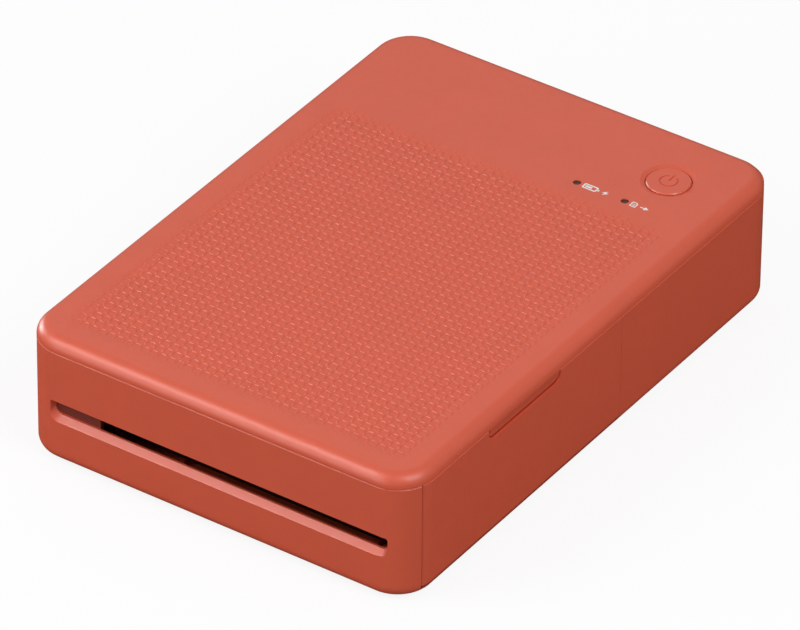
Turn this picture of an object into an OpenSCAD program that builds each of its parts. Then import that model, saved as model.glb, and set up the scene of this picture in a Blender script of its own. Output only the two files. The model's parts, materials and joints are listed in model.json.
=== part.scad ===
// Compact photo printer: a flat rounded casing whose whole top panel hinges up at the rear,
// with a side door for the ink cassette, a print slot in front, and the printing mechanism inside.
// Front is -Y, the cassette door is on +X, and the feet stand on z = 0.

/* [Casing] */
// Width of the casing, left to right
body_w = 102.2; // [98:0.1:116]
// Depth of the casing, front to rear
body_d = 145.8; // [143:0.1:160]
// Height of the casing without its feet
body_h = 32.4; // [32:0.1:36]
// Height of the rubber feet below the casing
foot_h = 0.5; // [0.3:0.1:1.5]
// Radius of the upright corners
corner_r = 9.05; // [8.5:0.05:11]
// Radius of the soft upper and lower edges
edge_r = 3; // [2:0.1:3.2]
// Thickness of the side walls and of the door
wall = 1.8; // [1.5:0.1:2]
// Thickness of the bottom cover
bottom_t = 1.5; // [1.2:0.1:1.8]
// Diameter of the rubber feet
foot_d = 9; // [6:0.5:12]

/* [Top cover] */
// Height of the top cover from its lower rim to the top
lid_h = 3.15; // [3.05:0.05:3.4]
// Thickness of the top cover's panel
lid_t = 1.8; // [1.5:0.1:2]
// Open seam between two casing parts
seam = 0.15; // [0.1:0.05:0.25]
// Radius of the hinge barrel along the top cover's rear edge
lid_barrel_r = 1.95; // [1.7:0.05:2.1]
// Diameter of the hinge pins of the top cover
lid_pin_d = 1.5; // [1.2:0.1:1.8]
// Distance of each hinge knuckle from the middle
lid_knuckle_x = 30; // [20:0.5:36]
// Width of a hinge knuckle
knuckle_w = 5; // [3:0.5:7]
// Angle at which the pressure plate hangs at rest
plate_angle = 3.5; // [2:0.5:4]

/* [Cassette door] */
// Distance of the door's opening behind the front face
door_front = 5.8; // [4.9:0.1:8]
// Length of the door's opening
door_l = 76.3; // [75:0.1:79]
// Distance of the finger notch behind the front face
notch_front = 30.4; // [26:0.1:34]
// Length of the finger notch
notch_l = 27.5; // [20:0.5:30]
// Depth of the finger notch below the seam
notch_h = 2.8; // [2:0.1:4]
// Diameter of the door's hinge pins
door_pin_d = 1.4; // [1:0.1:1.6]

/* [Print slot] */
// Height of the slot's upper edge above the table
slot_z1 = 16.6; // [16.4:0.1:18]
// Height of the opening at the recess's inner end
slot_open_h = 3.7; // [3:0.1:3.9]
// Height of the recess at the front face
slot_face_h = 4.9; // [4.4:0.1:5.6]
// Distance of the recess from the left side
slot_left = 7.6; // [7:0.1:13]

/* [Button and lights] */
// Distance of the button's middle from the right side
button_side = 17.65; // [15:0.05:22]
// Distance of the button's middle from the rear face
button_rear = 18.25; // [16.5:0.05:20]
// Diameter of the button cap
button_d = 10.3; // [8:0.1:11]
// Diameter of the shallow dish around the cap
dish_d = 12.8; // [12:0.1:14]
// Travel of the button
button_travel = 0.6; // [0.4:0.1:0.7]
// Diameter of a light pipe
pipe_d = 1.9; // [1.5:0.1:2.4]
// Distance of the light pipes from the rear face
pipe_rear = 30.5; // [29:0.1:32]
// Distance of the left light pipe from the right side
pipe_side0 = 33.9; // [29:0.1:39]
// Distance of the right light pipe from the right side
pipe_side1 = 21.25; // [18:0.05:25]

/* [Paper path] */
// Width of a sheet
paper_w = 72; // [66:1:73]
// Distance of the sheet's edge from the right side
paper_side = 7.3; // [7.3:0.1:8]
// Height of the sheet's plane through the printer
paper_z = 15.5; // [15:0.1:16]
// Thickness of the paper tray's floor
tray_t = 1; // [0.8:0.1:1.2]
// Length of the tray
tray_l = 88; // [80:1:90]
// Diameter of the platen roller
platen_d = 8; // [6:0.1:8.4]
// Distance of the platen and the print head behind the front face
platen_front = 44.9; // [41:0.5:47]
// Diameter of the feed roller
feed_d = 4.6; // [4:0.1:5]
// Distance of the feed roller behind the front face
feed_front = 86.9; // [86.4:0.1:87.9]
// Diameter of the pinch roller
pinch_d = 4.4; // [4:0.1:5]
// Diameter of the pick-up roller
pickup_d = 8; // [7:0.1:8.4]
// Distance of the pick-up roller behind the front face
pickup_front = 73.9; // [73:0.1:75]
// Width of the pick-up roller
pickup_w = 20; // [12:1:30]
// Diameter of the roller journals
journal_d = 3; // [2.4:0.1:3.2]
// Thickness of the frame's side plates
plate_t = 1; // [0.8:0.1:1.2]

/* [Gears] */
// Module of the gears
gear_m = 0.5; // [0.45:0.01:0.52]
// Teeth of the feed roller's gear and of the take-up gear
wheel_teeth = 24; // [22:1:25]
// Teeth of the motor pinions
pinion_teeth = 14; // [12:1:15]
// Teeth of the idler gear
idler_teeth = 15; // [14:1:16]
// Teeth of the pick-up roller's gear
pickup_teeth = 16; // [14:1:17]
// Width of the gears
gear_w = 2.2; // [1.6:0.1:2.6]
// Diameter of the motors
motor_d = 15; // [10:0.5:15]

/* [Ink cassette] */
// Outer radius of a cassette lobe
lobe_r = 5.8; // [5.2:0.1:5.8]
// Thickness of the cassette's walls
case_t = 0.8; // [0.6:0.1:1]
// Distance between the two lobes
lobe_gap = 57; // [54:0.5:58]
// Radius of a spool's core
spool_r = 2.4; // [1.8:0.1:2.6]
// Radius of the film wound on the supply spool
supply_roll_r = 4.4; // [3:0.1:4.5]
// Radius of the film wound on the take-up spool
takeup_roll_r = 3.2; // [2.8:0.1:4.2]

/* [Clearances] */
// Radial clearance of a turning fit
run_fit = 0.05; // [0.03:0.01:0.08]
// Free space between fixed neighbours
gap = 0.2; // [0.15:0.05:0.3]

/* [Hidden] */
$fn = 48;

// Colours, as the photograph shows the casing
casing_red = [0.72, 0.31, 0.22];
dark_red = [0.34, 0.12, 0.09];
dark_plastic = [0.13, 0.13, 0.14];
ivory_plastic = [0.85, 0.83, 0.78];
steel = [0.68, 0.69, 0.71];
rubber_black = [0.08, 0.08, 0.08];
gear_white = [0.92, 0.91, 0.87];
board_green = [0.06, 0.30, 0.18];
brass_tone = [0.78, 0.62, 0.30];

// Casing planes
half_w = body_w / 2;
half_d = body_d / 2;
top_z = foot_h + body_h;
seam_z = top_z - lid_h - seam;          // upper rim of the body shell
lid_z = top_z - lid_h;                  // lower rim of the top cover
ceiling_z = top_z - lid_t;              // underside of the top cover's panel
floor_z = foot_h + bottom_t;            // upper face of the bottom cover
ledge_z = floor_z + 0.05;               // ledge that the bottom cover is screwed against
ledge_top_z = foot_h + edge_r + 0.05;
cover_inset = edge_r + 0.6;             // edge of the bottom cover, in from the outline
ledge_w = 2;
rim_r = 0.3;                            // soft outer edge along the seam
lip_t = 0.9;                            // lip behind the seam that centres the top cover
lip_h = 1;
big = 400;
eps = 0.01;

// Casing screws sit on the inner side of the corners
screw_x = half_w - corner_r;
screw_y = half_d - corner_r + 2.15;
screw_d = 2;
screw_head_d = 3.8;
screw_head_t = 1;
screw_l = 5;
boss_d = 5.2;
boss_h = 6;
foot_in = [7, 9];                       // feet, in from the screws
foot_x = screw_x - foot_in.x;
foot_y = screw_y - foot_in.y;
foot_sunk = 0.5;

// Top cover hinge: barrel along the rear edge
lid_axis_y = half_d - 2;
lid_axis_z = seam_z - 0.7;
lid_barrel_half = half_w - 1.2;
lid_pin_l = 12;
rear_wall_z = lid_axis_z - 2.2;
knuckle_gap = 0.15;

// Door: its hinge barrel runs along the lower edge, which is round about the hinge's axis
door_y0 = -half_d + door_front;
door_y1 = door_y0 + door_l;
door_sweep_r = wall + 0.65;
door_seam = 0.15;                       // along the door's lower edge
door_front_seam = 0.3;
door_rear_seam = 0.05;
door_edge = 0.3;                        // soft front edge of the door
door_axis_x = half_w - wall;
door_barrel_r = wall - 0.05;
door_axis_z = floor_z + 0.2 + door_sweep_r;
door_pin_l = 11;
door_knuckle_in = 20;
door_knuckle_y = [door_y0 + door_knuckle_in, door_y1 - door_knuckle_in];
door_knuckle_r = door_barrel_r - 0.6;   // small enough for a skin of the door to pass outside it
door_post_x = half_w - cover_inset - ledge_w + 0.1;

// Finger notch, and the scoop of the top cover that closes it
notch_y0 = -half_d + notch_front;
notch_y1 = notch_y0 + notch_l;
notch_r = 2;
notch_land = 0.5;                       // thin outer edge of the door along the notch
notch_rebate = 0.6;
notch_step = 0.15;
tab_t = 1.7;
tab_x = half_w - wall - 0.1 - tab_t;
tab_gap = 0.3;
tab_lean = 0.65;                        // how far the scoop leans in at its lower edge

// Print slot
paper_x1 = half_w - paper_side;
paper_x0 = paper_x1 - paper_w;
paper_x = (paper_x0 + paper_x1) / 2;
slot_side = 1.1;                        // mouth beyond the sheet's right edge
slot_mouth_side = 2.8;                  // mouth beyond the sheet's left edge
slot_x0 = -half_w + slot_left;
slot_x1 = paper_x1 + slot_side;
slot_mouth_x0 = paper_x0 - slot_mouth_side;
slot_open_z = slot_z1 - slot_open_h;
slot_deep = wall - 0.2;                 // depth of the recess, down to a thin lip
slot_edge = 0.25;                       // soft edge of the recess at the face
slot_lip = 0.45;                        // the recess is that much longer at the face, each end
slot_r = [2.4, 1.5];                    // its lower corners, left and right
slot_up_r = 0.8;                        // its upper corners
slot_cover = 1.2;                       // the end piece laps over the mouth by that much
slot_end_t = 1.2;                       // its thickness

// Frame: the side plates stand outside the sheet's edges
plate_x0 = paper_x0 - 2.3;              // inner face of the left plate
plate_x1 = paper_x1 + 2;                // inner face of the right plate
plate_z0 = floor_z;                     // the left plate and the gear plate stand on the bottom cover
right_plate_z0 = ledge_top_z;           // the right plate stands on the casing's ledge
plate_y0 = -half_d + 6.9;
feed_y = -half_d + feed_front;
pickup_y = -half_d + pickup_front;
platen_y = -half_d + platen_front;
plate_y1 = feed_y + 18;
window_z = paper_z + 1.3;               // top of the cassette's way through the right plate
gear_x = plate_x0 - plate_t - 4.5;      // left face of the gears
gear_plate_x = gear_x - 1.4 - plate_t;  // left face of the gear plate
motor_l = gear_plate_x + half_w - wall - 0.9;

// Paper tray, on top of the side plates
tray_z = top_z - 8.3;                   // underside of the tray's floor
tray_y0 = plate_y0;
tray_wall = 1.2;
tray_side = 0.3;                        // play of the sheet between the side walls
tray_h = 4.6;

// Rollers, each a little off the sheet's plane
sheet_t = 0.2;
platen_z = paper_z + sheet_t / 2 + platen_d / 2;
feed_z = paper_z - feed_d / 2;
pinch_z = paper_z + sheet_t + pinch_d / 2;
pickup_z = tray_z + tray_t + 0.2 - pickup_d / 2;
bush_d = 4.4;
bush_flange_d = 5.2;

// Gear places, each from the gear that drives it
function pitch_r(teeth) = gear_m * teeth / 2;
mesh_slack = 0.06;
function mesh_dist(a, b) = pitch_r(a) + pitch_r(b) + mesh_slack;
feed_at = [feed_y, feed_z];
pickup_at = [pickup_y, pickup_z];
idler_at = meet(feed_at, pickup_at, mesh_dist(wheel_teeth, idler_teeth),
                mesh_dist(idler_teeth, pickup_teeth));
feed_pinion_at = feed_at + polar(mesh_dist(wheel_teeth, pinion_teeth), -5);
takeup_y = door_y1 - 9;
lobe_z = paper_z - 0.5 - lobe_r;
door_sill_z = lobe_z - lobe_r - 0.1;    // the cassette slides out above it
gear_plate_y0 = takeup_y - 19;
gear_plate_y1 = feed_y + 18;
takeup_at = [takeup_y, lobe_z];
supply_at = [takeup_y - lobe_gap, lobe_z];
ribbon_pinion_at = takeup_at + polar(mesh_dist(wheel_teeth, pinion_teeth), 160);

// Tooth phases, so that meshed gears stand tooth to gap
feed_phase = 0;
idler_phase = mesh_phase(feed_at, feed_phase, wheel_teeth, idler_at, idler_teeth);
pickup_phase = mesh_phase(idler_at, idler_phase, idler_teeth, pickup_at, pickup_teeth);
feed_pinion_phase = mesh_phase(feed_at, feed_phase, wheel_teeth, feed_pinion_at, pinion_teeth);
takeup_phase = 0;
ribbon_pinion_phase =
  mesh_phase(takeup_at, takeup_phase, wheel_teeth, ribbon_pinion_at, pinion_teeth);

// Stroke that frees the take-up spool from its drive, and the bridges at the cassette's ends
release = 1.5;
bridge_w = 1.6;

// Guides that turn the sheet from the tray down into the printing plane
turn_r = (tray_z + tray_t + 0.4 - paper_z) / 2;
turn_at = [tray_y0 + tray_l + 2, paper_z + turn_r];

// Print head on its arm, retracted from the film at rest
cassette_l = paper_w + 1.9;
head_lift = 1.8;
film_z = paper_z - 0.3;
film_t = 0.1;
head_l = cassette_l - 2 * bridge_w - 2 * (release + 0.15);
head_top = film_z - 0.1 - head_lift;
head_x0 = paper_x - head_l / 2;
head_t = 1;
bead_h = 0.7;
sink_t = 4;
sink_w = 16;
arm_t = 1;
arm_z = head_top - bead_h - head_t - sink_t - arm_t;
pivot_y = platen_y + 16;
pivot_z = floor_z + 3.8;
pivot_d = 3;
ear_w = 1.5;
lug_w = 3;
lug_x = [head_x0 + 8, head_x0 + head_l - 8];
head_spring_y = platen_y - 4;

// Ink cassette
case_x0 = plate_x0 + 1.5;
case_x1 = case_x0 + cassette_l;
bridge_z = head_top + 0.3;
hub_r = 1.5;
dog_w = 0.8;
dog_l = 1.2;
spool_x0 = case_x0 + 0.6;
spool_x1 = case_x1 - case_t - gap;
film_w = paper_w - 2;
cable_x = 12;
cable_w = 12;

// Rear compartment
rear_y = plate_y1 + 4;
board_t = 1.2;
main_board_z = floor_z + 4;
bay_x = -8;                             // between the battery and the boards
main_board_x = [bay_x + 2, half_w - cover_inset - 1.5];
main_board_y = [rear_y, half_d - 7];
button_x = half_w - button_side;
button_y = half_d - button_rear;
pipe_y = half_d - pipe_rear;
pipe_x0 = half_w - pipe_side0;
pipe_x1 = half_w - pipe_side1;
button_board_z = ceiling_z - 6.6;
button_board_x = [pipe_x0 - 5.2, half_w - 4.6];
button_board_y = [pipe_y - 4.4, button_y + 7.7];
pillar_d = 4;
pillar_inset = 2.4;
hole_in = [6.5, 12];                    // right holes of the main board, in from its edge
battery_x = [cover_inset + ledge_w - half_w + 0.4, bay_x - 2];
battery_y = [rear_y, screw_y - 3];
battery_h = 14;
usb_x = 8;
usb_w = 9;
usb_h = 3.3;

// Button parts below the panel
cap_top = top_z - 0.1;
cap_gap = 0.2;
cap_edge = 0.25;
dish_r = 16;                            // the dish is part of a ball
flange_d = button_d + 1.9;
flange_z = ceiling_z - 0.05;
flange_t = 0.9;
coil_solid = 1.05;                      // height of the pressed spring
cup_t = 0.8;
cup_h = flange_t + button_travel + coil_solid + cup_t + 0.05;
stem_d = 3;
stem_z = ceiling_z - cup_h - button_travel - 0.1;
switch_z = button_board_z + board_t;
plunger_d = 2.2;
switch_h = 0.6;
led_h = 1.6;

// Pressure plate hinged under the top cover
press_y = plate_y0 + 20;
press_l = 50;
press_x = [paper_x - 24, paper_x + 24];
press_t = 0.8;
press_pin_d = 1.6;
press_axis_z = ceiling_z - 1.4;

// Point at a distance and an angle
function polar(r, a) = [r * cos(a), r * sin(a)];

// Point at distance ra from a and rb from b, on the upper side of the line between them
function meet(a, b, ra, rb) =
  let (d = norm(b - a), u = (b - a) / d, s = (ra * ra - rb * rb + d * d) / (2 * d),
       h = sqrt(max(ra * ra - s * s, 0)))
  a + s * u + h * (u.x < 0 ? [u.y, -u.x] : [-u.y, u.x]);

// Phase of gear b that puts its gap against gear a's tooth
function mesh_phase(a, phase_a, teeth_a, b, teeth_b) =
  let (dir = atan2(b.y - a.y, b.x - a.x), u = (dir - phase_a) * teeth_a / 360)
  dir + 180 - 360 * (0.5 - u) / teeth_b;

// Involute flank: angle at radius r on a base circle of radius rb
function involute(r, rb) = r <= rb ? 0 : let (t = sqrt(r * r / (rb * rb) - 1)) t * 180 / PI - atan(t);

// Outline of a spur gear, a few points per flank
function gear_points(teeth) =
  let (rp = pitch_r(teeth), rb = rp * cos(20), ra = rp + 0.85 * gear_m, rr = rp - 1.15 * gear_m,
       half = 360 / teeth / 4 - 0.05 / rp * 180 / PI + involute(rp, rb),
       radii = [rr, max(rb, rr + eps), (max(rb, rr) + rp) / 2, rp, (rp + ra) / 2, ra])
  [for (t = [0:teeth - 1])
    let (mid = 360 * t / teeth)
    each concat(
      [for (r = radii) polar(r, mid - half + involute(r, rb))],
      [for (k = [len(radii) - 1:-1:0]) polar(radii[k], mid + half - involute(radii[k], rb))])];

// Outline of the casing, moved in by a distance
module outline(inset = 0) {
  w = body_w - 2 * inset;
  d = body_d - 2 * inset;
  r = corner_r - inset;
  square([w - 2 * r, d], center = true);
  square([w, d - 2 * r], center = true);
  for (x = [-1, 1], y = [-1, 1])
    translate([x * (w / 2 - r), y * (d / 2 - r)]) circle(r);
}

module prism(inset, z0, z1) {
  translate([0, 0, z0]) linear_extrude(z1 - z0) outline(inset);
}

// Section of a rounded slab's border: square inside, rounded below and above
module border(r, z0, z1, low_r, up_r) {
  intersection() {
    translate([0, z0]) square([r, z1 - z0]);
    union() {
      translate([0, z0 + low_r]) square([r, z1 - z0 - low_r - up_r]);
      translate([0, z0 + low_r]) square([r - up_r, z1 - z0 - low_r]);
      translate([0, z0]) square([r - low_r, z1 - z0 - up_r]);
      if (low_r > 0) translate([r - low_r, z0 + low_r]) circle(low_r);
      if (up_r > 0) translate([r - up_r, z1 - up_r]) circle(up_r);
    }
  }
}

// The casing's rounded block between two heights
module slab(z0, z1, low_r, up_r) {
  a = half_w - corner_r;
  b = half_d - corner_r;
  translate([-a, -b, z0]) cube([2 * a, 2 * b, z1 - z0]);
  for (s = [0, 1]) mirror([s, 0, 0]) {
    translate([a, b, 0]) rotate([90, 0, 0]) linear_extrude(2 * b) border(corner_r, z0, z1, low_r, up_r);
    for (t = [0, 1]) mirror([0, t, 0])
      translate([a, b, 0]) rotate_extrude(angle = 90) border(corner_r, z0, z1, low_r, up_r);
  }
  for (t = [0, 1]) mirror([0, t, 0])
    translate([-a, b, 0]) rotate([90, 0, 90]) linear_extrude(2 * a) border(corner_r, z0, z1, low_r, up_r);
}

// Box from its two corners
module box(a, b) {
  translate(a) cube(b - a);
}

// Cylinder along X, from x over a length, at [y, z]
module rod_x(x, l, d, at) {
  translate([x, at.x, at.y]) rotate([0, 90, 0]) cylinder(h = l, d = d);
}

// Cylinder along Y, from y over a length, at [x, z]
module rod_y(y, l, d, at) {
  translate([at.x, y, at.y]) rotate([-90, 0, 0]) cylinder(h = l, d = d);
}

// Plate in the YZ plane: drawn with Y across and Z up, from x over a thickness
module side_plate(x, t) {
  translate([x, 0, 0]) rotate([90, 0, 90]) linear_extrude(t) children();
}

// Spur gear in the YZ plane with a bore
module gear(teeth, at, phase, bore_d, w = gear_w) {
  difference() {
    side_plate(gear_x, w) translate(at) rotate(phase) polygon(gear_points(teeth));
    rod_x(gear_x - 1, w + 2, bore_d, at);
  }
}

// Coil spring along +Z from z = 0, closed mesh along a helix
module coil(r, wire, h, turns) {
  sides = 6;
  steps = 10 * turns;
  rise = (h - wire) / steps;
  points = [for (k = [0:steps], j = [0:sides - 1])
    let (a = 360 * k / 10, q = 360 * j / sides, rr = r + wire / 2 * cos(q))
    [rr * cos(a), rr * sin(a), wire / 2 + rise * k + wire / 2 * sin(q)]];
  side_faces = [for (k = [0:steps - 1], j = [0:sides - 1])
    let (n = (j + 1) % sides)
    [k * sides + j, (k + 1) * sides + j, (k + 1) * sides + n, k * sides + n]];
  ends = [[for (j = [0:sides - 1]) j], [for (j = [sides - 1:-1:0]) steps * sides + j]];
  polyhedron(points, concat(side_faces, ends), convexity = 10);
}

// Upright of the hinge knuckles: they carry the pins between the notches of the barrel
module lid_knuckles() {
  for (s = [-1, 1]) difference() {
    union() {
      rod_x(s * lid_knuckle_x - knuckle_w / 2, knuckle_w, 2 * lid_barrel_r - 0.3, [lid_axis_y, lid_axis_z]);
      box([s * lid_knuckle_x - knuckle_w / 2, lid_axis_y - 1.75, rear_wall_z - 3],
          [s * lid_knuckle_x + knuckle_w / 2, lid_axis_y + 1.1, lid_axis_z]);
    }
    rod_x(s * lid_knuckle_x - knuckle_w, 2 * knuckle_w, lid_pin_d, [lid_axis_y, lid_axis_z]);
  }
}

// Knuckles of the door: each reaches over from a post on the ledge, hidden behind the door's skin
module door_knuckles() {
  for (y = door_knuckle_y) difference() {
    union() {
      rod_y(y - knuckle_w / 2, knuckle_w, 2 * door_knuckle_r, [door_axis_x, door_axis_z]);
      box([door_post_x, y - knuckle_w / 2, door_axis_z],
          [door_axis_x - 0.05, y + knuckle_w / 2, door_axis_z + door_knuckle_r]);
      box([door_post_x, y - knuckle_w / 2, ledge_top_z - 0.5],
          [door_axis_x - door_barrel_r - 0.3, y + knuckle_w / 2, door_axis_z + door_knuckle_r]);
    }
    rod_y(y - knuckle_w, 2 * knuckle_w, door_pin_d, [door_axis_x, door_axis_z]);
  }
}

// Front recess of the print slot: a soft edge at the face, then a floor that rises to the mouth
module slot_recess() {
  hull() {
    slot_section(0, slot_edge, slot_face_h);
    slot_section(slot_edge, 0, slot_face_h);
  }
  hull() {
    slot_section(slot_edge, 0, slot_face_h);
    slot_section(slot_deep, -slot_lip, slot_open_h);
  }
}

// Thin section of the recess at a depth behind the face, grown by a distance
module slot_section(depth, grow, h) {
  translate([0, -half_d + depth, 0]) rotate([90, 0, 0]) linear_extrude(eps)
    soft_slot(slot_x0 + slot_edge - grow, slot_x1 + slot_lip + grow,
              slot_z1 - h - grow, slot_z1 + max(grow, 0));
}

// Outline of the slot: round lower corners, upper corners nearly square
module soft_slot(x0, x1, z0, z1) {
  hull() {
    translate([x0 + slot_r[0], z0 + slot_r[0]]) circle(slot_r[0], $fn = 32);
    translate([x1 - slot_r[1], z0 + slot_r[1]]) circle(slot_r[1], $fn = 32);
    for (x = [x0 + slot_up_r, x1 - slot_up_r]) translate([x, z1 - slot_up_r]) circle(slot_up_r, $fn = 32);
  }
}

// Mouth of the slot, through the thin lip at the recess's inner end
module slot_mouth() {
  translate([0, -half_d + wall + 1, 0]) rotate([90, 0, 0]) linear_extrude(2)
    soft_slot(slot_x0 + slot_edge + slot_lip, slot_x1, slot_open_z, slot_z1);
}

// Stadium section of the charging port, grown by a distance
module usb_section(extra = 0) {
  r = usb_h / 2 + extra;
  translate([-usb_w / 2 + usb_h / 2, -r]) square([usb_w - usb_h, 2 * r]);
  for (s = [-1, 1]) translate([s * (usb_w - usb_h) / 2, 0]) circle(r);
}

// Extrusion of the port's section along Y
module usb_prism(y0, y1, extra = 0) {
  translate([usb_x, y1, main_board_z + board_t + usb_h / 2]) rotate([90, 0, 0])
    linear_extrude(y1 - y0) usb_section(extra);
}

// Walls of the casing, open above for the top cover and below for the bottom cover
module body_shell() color(casing_red) {
  difference() {
    union() {
      difference() {
        slab(foot_h, seam_z, edge_r, rim_r);
        prism(wall, ledge_top_z, seam_z + 1);
        prism(cover_inset - seam, foot_h - 1, ledge_z);
        prism(cover_inset + ledge_w, foot_h - 1, foot_h + edge_r + 1);
      }
      // lip behind the seam, on the sides and in front
      difference() {
        prism(wall - eps, seam_z - 3, seam_z + eps);
        prism(wall + lip_t, seam_z - 4, seam_z + 2);
      }
      difference() {
        prism(wall + seam, seam_z - 1, seam_z + lip_h);
        prism(wall + lip_t, seam_z - 4, seam_z + 2);
        box([-big, half_d - 16, seam_z - eps], [big, big, big]);
      }
      for (x = [-1, 1], y = [-1, 1]) screw_boss(x, y);
    }
    slot_recess();
    slot_mouth();
    usb_prism(half_d - 6, half_d + 1, 0.15);
    // door opening, round about the hinge's axis below
    box([half_w - corner_r, door_y0, door_axis_z], [big, door_y1, big]);
    box([half_w - corner_r, door_y0, door_sill_z], [door_axis_x, door_y1, door_axis_z + eps]);
    rod_y(door_y0, door_l, 2 * (door_sweep_r + door_seam), [door_axis_x, door_axis_z]);
    // rear wall lowered for the hinge barrel
    box([-big, lid_axis_y - lid_barrel_r - 0.3, rear_wall_z], [big, big, big]);
    for (x = [-1, 1], y = [-1, 1])
      translate([x * screw_x, y * screw_y, 0]) cylinder(h = floor_z + screw_l - 1, d = screw_d);
  }
  lid_knuckles();
  door_knuckles();
}

module screw_boss(x, y) {
  translate([x * screw_x, y * screw_y, ledge_z]) cylinder(h = boss_h, d = boss_d);
}

// Flush plate under the casing, with posts for the boards and lugs for the head's pivot
module bottom_cover() color(casing_red) {
  difference() {
    union() {
      prism(cover_inset, foot_h, floor_z);
      for (p = main_board_holes())
        translate([p.x, p.y, floor_z - eps]) cylinder(h = main_board_z - floor_z + eps, d = pillar_d);
      for (x = lug_x)
        box([x - lug_w / 2, pivot_y - 2.6, floor_z - eps], [x + lug_w / 2, pivot_y + 2.6, pivot_z + 2.4]);
      // ribs that the cassette's lobes lie on
      for (x = lug_x, p = [supply_at, takeup_at])
        box([x - 1, p.x - 3, floor_z - eps], [x + 1, p.x + 3, lobe_z - lobe_r - 0.1]);
    }
    for (x = lug_x) rod_x(x - lug_w, 2 * lug_w, pivot_d, [pivot_y, pivot_z]);
    for (x = [-1, 1], y = [-1, 1]) {
      translate([x * screw_x, y * screw_y, foot_h - 1]) cylinder(h = 5, d = screw_d + 0.2);
      translate([x * screw_x, y * screw_y, foot_h - 1])
        cylinder(h = 1 + screw_head_t, d = screw_head_d + 0.2);
      translate([x * foot_x, y * foot_y, foot_h - 1]) cylinder(h = 1 + foot_sunk, d = foot_d + 0.1);
    }
    for (p = main_board_holes())
      translate([p.x, p.y, main_board_z - 3]) cylinder(h = 4, d = 1.6);
  }
}

// Piece that closes the mouth to the left of the sheet, against the inside of the front wall
module slot_end() color(dark_red) {
  intersection() {
    prism(wall, foot_h, seam_z);
    box([slot_x0 - slot_cover, -half_d, slot_open_z - slot_cover],
        [slot_mouth_x0, -half_d + wall + slot_end_t, slot_z1 + slot_cover]);
  }
}

module rubber_feet() color(rubber_black)
  for (x = [-1, 1], y = [-1, 1])
    translate([x * foot_x, y * foot_y, 0]) cylinder(h = foot_h + foot_sunk, d = foot_d);

module casing_screws() color(steel)
  for (x = [-1, 1], y = [-1, 1])
    translate([x * screw_x, y * screw_y, 0]) difference() {
      union() {
        translate([0, 0, foot_h]) cylinder(h = screw_head_t, d = screw_head_d);
        translate([0, 0, foot_h + screw_head_t - eps]) cylinder(h = screw_l - screw_head_t, d = screw_d);
      }
      cross_recess(foot_h - eps, 0.6);
    }

module cross_recess(z, depth) {
  for (a = [0, 90]) rotate(a) translate([-1, -0.2, z]) cube([2, 0.4, depth]);
}

// Whole top panel with its rounded rim, hinge barrel, scoop and the lugs of the pressure plate
module top_cover() color(casing_red) {
  difference() {
    union() {
      difference() {
        slab(lid_z, top_z, 0, edge_r);
        prism(wall, lid_z - 1, ceiling_z);
      }
      intersection() {
        union() {
          rod_x(-lid_barrel_half, 2 * lid_barrel_half, 2 * lid_barrel_r, [lid_axis_y, lid_axis_z]);
          box([-lid_barrel_half, lid_axis_y - lid_barrel_r, lid_axis_z + 0.3],
              [lid_barrel_half, lid_axis_y + lid_barrel_r, ceiling_z + eps]);
        }
        prism(0.05, lid_axis_z - 5, ceiling_z + 1);
      }
      lid_scoop();
      for (x = press_x) press_lug(x);
    }
    // notches for the knuckles and bores for their pins
    for (s = [-1, 1]) {
      rod_x(s * lid_knuckle_x - knuckle_w / 2 - knuckle_gap, knuckle_w + 2 * knuckle_gap,
            2 * lid_barrel_r + 0.2, [lid_axis_y, lid_axis_z]);
      rod_x(s * lid_knuckle_x - lid_pin_l / 2 - 0.5, lid_pin_l + 1, lid_pin_d + 2 * run_fit,
            [lid_axis_y, lid_axis_z]);
    }
    // button hole and its shallow dish, and the light holes
    translate([button_x, button_y, ceiling_z - 1]) cylinder(h = 5, d = button_d + 2 * cap_gap);
    translate([button_x, button_y, top_z + sqrt(dish_r * dish_r - dish_d * dish_d / 4)])
      sphere(r = dish_r, $fn = 96);
    for (x = [pipe_x0, pipe_x1])
      translate([x, pipe_y, ceiling_z - 1]) cylinder(h = 5, d = pipe_d);
  }
}

// Scoop behind the finger notch: a plate inside the door, and a face that leans in below the rim
module lid_scoop() {
  box([tab_x, notch_y0 - 1, seam_z - notch_h - notch_rebate - 1],
      [tab_x + tab_t, notch_y1 + 1, ceiling_z + eps]);
  intersection() {
    notch_prism(half_w - wall - 0.2, tab_gap);
    rotate([90, 0, 0]) translate([0, 0, -notch_y1]) linear_extrude(notch_l)
      polygon([[tab_x, lid_z + eps], [half_w, lid_z + eps], [half_w, lid_z],
               [half_w - tab_lean, seam_z - notch_h], [tab_x, seam_z - notch_h]]);
  }
}

module press_lug(x) {
  difference() {
    box([x - 1, press_y - 1.5, press_axis_z - 1.3], [x + 1, press_y + 1.5, ceiling_z + eps]);
    rod_x(x - 2, 4, press_pin_d + 2 * run_fit, [press_y, press_axis_z]);
  }
}

module lid_hinge_pins() color(steel)
  for (s = [-1, 1])
    rod_x(s * lid_knuckle_x - lid_pin_l / 2, lid_pin_l, lid_pin_d, [lid_axis_y, lid_axis_z]);

module door_hinge_pins() color(steel)
  for (y = door_knuckle_y)
    rod_y(y - door_pin_l / 2, door_pin_l, door_pin_d, [door_axis_x, door_axis_z]);

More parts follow.
